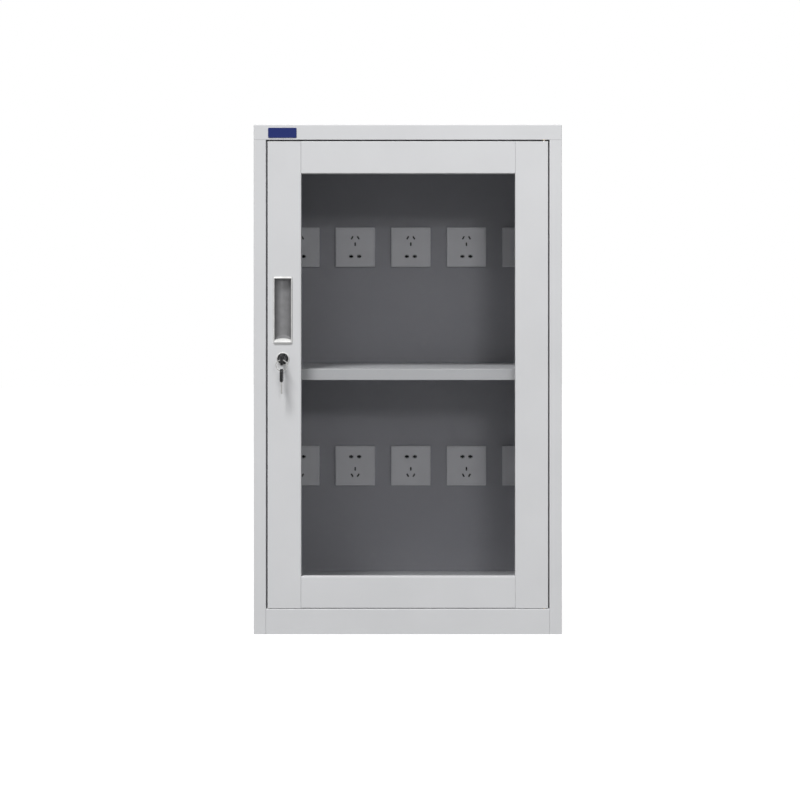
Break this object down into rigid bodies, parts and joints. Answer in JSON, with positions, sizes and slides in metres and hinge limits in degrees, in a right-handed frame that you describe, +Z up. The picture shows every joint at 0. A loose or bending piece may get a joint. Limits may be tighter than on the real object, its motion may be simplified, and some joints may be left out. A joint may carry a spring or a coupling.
{
  "type": "charging cabinet",
  "caption": "Steel charging cabinet with a glazed hinged door, a recessed pull, a cam lock, a lift-out shelf and rows of mains sockets on its back wall.",
  "frame": {"origin": "middle of the footprint, on the floor", "axes": "+Z up, -Y towards the front with the door, +X to the right from the front"},
  "size_m": [0.6, 0.4392, 0.992],
  "materials": {
    "cabinet_paint": "satin light grey powder coat",
    "panel_paint": "satin grey powder coat",
    "upright_paint": "satin grey powder coat",
    "clip_steel": "zinc plated",
    "socket_plastic": "satin white",
    "module_plastic": "matt grey",
    "box_plastic": "matt grey",
    "loom_sheath": "matt black",
    "black_rubber": "matt black",
    "window_glass": "clear",
    "bead_aluminium": "mill finish",
    "hinge_steel": "turned",
    "bush_brass": "turned",
    "pull_metal": "satin",
    "lock_chrome": "polished",
    "lock_steel": "zinc plated",
    "key_steel": "nickel plated",
    "bow_plastic": "black",
    "ring_steel": "nickel plated"
  },
  "bodies": {
    "carcass": {"side_panel_left": "cabinet_paint", "side_panel_right": "cabinet_paint", "top_cap": "cabinet_paint", "base_tray": "cabinet_paint", "rear_cover": "cabinet_paint", "socket_panel": "panel_paint", "upright_front_left": "upright_paint", "upright_front_right": "upright_paint", "upright_rear_left": "upright_paint", "upright_rear_right": "upright_paint", "shelf_clips": "clip_steel", "socket_plate_upper_1": "socket_plastic", "socket_plate_upper_2": "socket_plastic", "socket_plate_upper_3": "socket_plastic", "socket_plate_upper_4": "socket_plastic", "socket_plate_upper_5": "socket_plastic", "socket_plate_lower_1": "socket_plastic", "socket_plate_lower_2": "socket_plastic", "socket_plate_lower_3": "socket_plastic", "socket_plate_lower_4": "socket_plastic", "socket_plate_lower_5": "socket_plastic", "socket_module_upper_1": "module_plastic", "socket_module_upper_2": "module_plastic", "socket_module_upper_3": "module_plastic", "socket_module_upper_4": "module_plastic", "socket_module_upper_5": "module_plastic", "socket_module_lower_1": "module_plastic", "socket_module_lower_2": "module_plastic", "socket_module_lower_3": "module_plastic", "socket_module_lower_4": "module_plastic", "socket_module_lower_5": "module_plastic", "terminal_box": "box_plastic", "wiring_loom_lower": "loom_sheath", "wiring_loom_upper": "loom_sheath", "cable_grommet": "black_rubber", "hinge_bushes": "bush_brass", "door_buffers": "black_rubber"},
    "shelf": {"shelf": "cabinet_paint"},
    "door": {"door_stile_left": "cabinet_paint", "door_stile_right": "cabinet_paint", "door_rail_top": "cabinet_paint", "door_rail_bottom": "cabinet_paint", "door_glass": "window_glass", "glazing_tape": "black_rubber", "glazing_beads": "bead_aluminium", "hinge_pins": "hinge_steel", "recessed_pull": "pull_metal", "lock_body": "lock_chrome", "lock_nut": "lock_steel"},
    "lock_plug": {"lock_plug": "lock_chrome", "lock_cam": "lock_steel", "cam_screw": "lock_steel"},
    "key": {"key_blade": "key_steel", "key_bow": "bow_plastic"},
    "key_ring": {"key_ring": "ring_steel"},
    "spare_key": {"spare_key_blade": "key_steel", "spare_key_bow": "bow_plastic"}
  },
  "joints": [
    {"name": "door_swing", "type": "hinge", "parent": "carcass", "child": "door", "pos_m": [0.2655, -0.194, 0.506], "axis": [0, 0, 1], "range_deg": [0, 110]},
    {"name": "lock_turn", "type": "hinge", "parent": "door", "child": "lock_plug", "pos_m": [-0.243, -0.2, 0.5362], "axis": [0, 1, 0], "range_deg": [0, 90]},
    {"name": "key_withdraw", "type": "slide", "parent": "lock_plug", "child": "key", "axis": [0, -1, 0], "range_m": [0, 0.025]},
    {"name": "ring_swing", "type": "hinge", "parent": "key", "child": "key_ring", "pos_m": [-0.243, -0.2252, 0.5351], "axis": [-1, 0, 0], "range_deg": [-8, 45]},
    {"name": "spare_key_swing", "type": "hinge", "parent": "key_ring", "child": "spare_key", "pos_m": [-0.243, -0.2252, 0.5135], "axis": [-1, 0, 0], "range_deg": [-8, 45]},
    {"name": "shelf_lift", "type": "slide", "parent": "carcass", "child": "shelf", "axis": [0, 0, 1], "range_m": [0, 0.03]}
  ]
}
